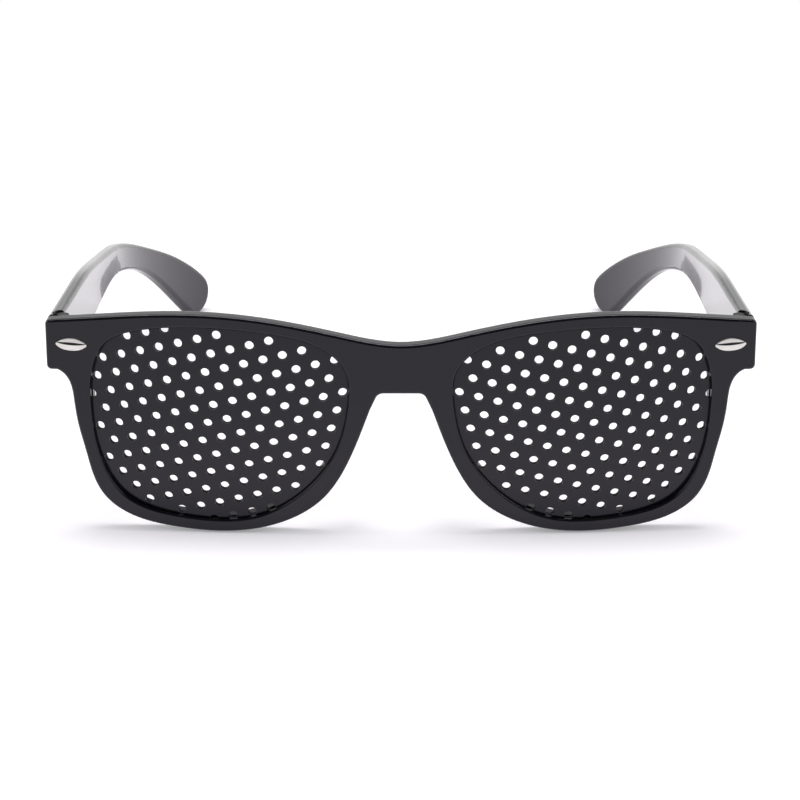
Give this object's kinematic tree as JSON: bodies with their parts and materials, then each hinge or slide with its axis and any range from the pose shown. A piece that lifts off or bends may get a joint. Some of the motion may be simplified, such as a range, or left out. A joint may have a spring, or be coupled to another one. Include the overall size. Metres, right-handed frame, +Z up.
{
  "type": "pinhole glasses",
  "caption": "Black plastic glasses with domed perforated lenses that let the wearer look through small holes, folding temples on metal hinges and small metal ornaments",
  "frame": {"origin": "middle of the glasses, at the level of the table that the rims and the temple tips rest on", "axes": "+X to the wearer's left, +Y from the front towards the ears, +Z up; temples open"},
  "size_m": [0.145, 0.146, 0.0467],
  "materials": {
    "frame_plastic": "satin gloss",
    "lens_plastic": "satin",
    "hinge_metal": "satin",
    "screw_metal": "blackened",
    "ornament_metal": "polished"
  },
  "bodies": {
    "front": {"front_frame": "frame_plastic", "left_pinhole_lens": "lens_plastic", "right_pinhole_lens": "lens_plastic", "left_front_hinge": "hinge_metal", "right_front_hinge": "hinge_metal", "left_hinge_screw": "screw_metal", "right_hinge_screw": "screw_metal", "left_ornament": "ornament_metal", "right_ornament": "ornament_metal"},
    "left_arm": {"left_temple": "frame_plastic", "left_temple_hinge": "hinge_metal"},
    "right_arm": {"right_temple": "frame_plastic", "right_temple_hinge": "hinge_metal"}
  },
  "joints": [
    {"name": "left_fold", "type": "hinge", "parent": "front", "child": "left_arm", "pos_m": [0.0695, -0.06199, 0.04005], "axis": [0, 0.0524, 0.9986], "range_deg": [0, 80]},
    {"name": "right_fold", "type": "hinge", "parent": "front", "child": "right_arm", "pos_m": [-0.0695, -0.06199, 0.04005], "axis": [0, -0.0524, -0.9986], "range_deg": [0, 65]}
  ]
}
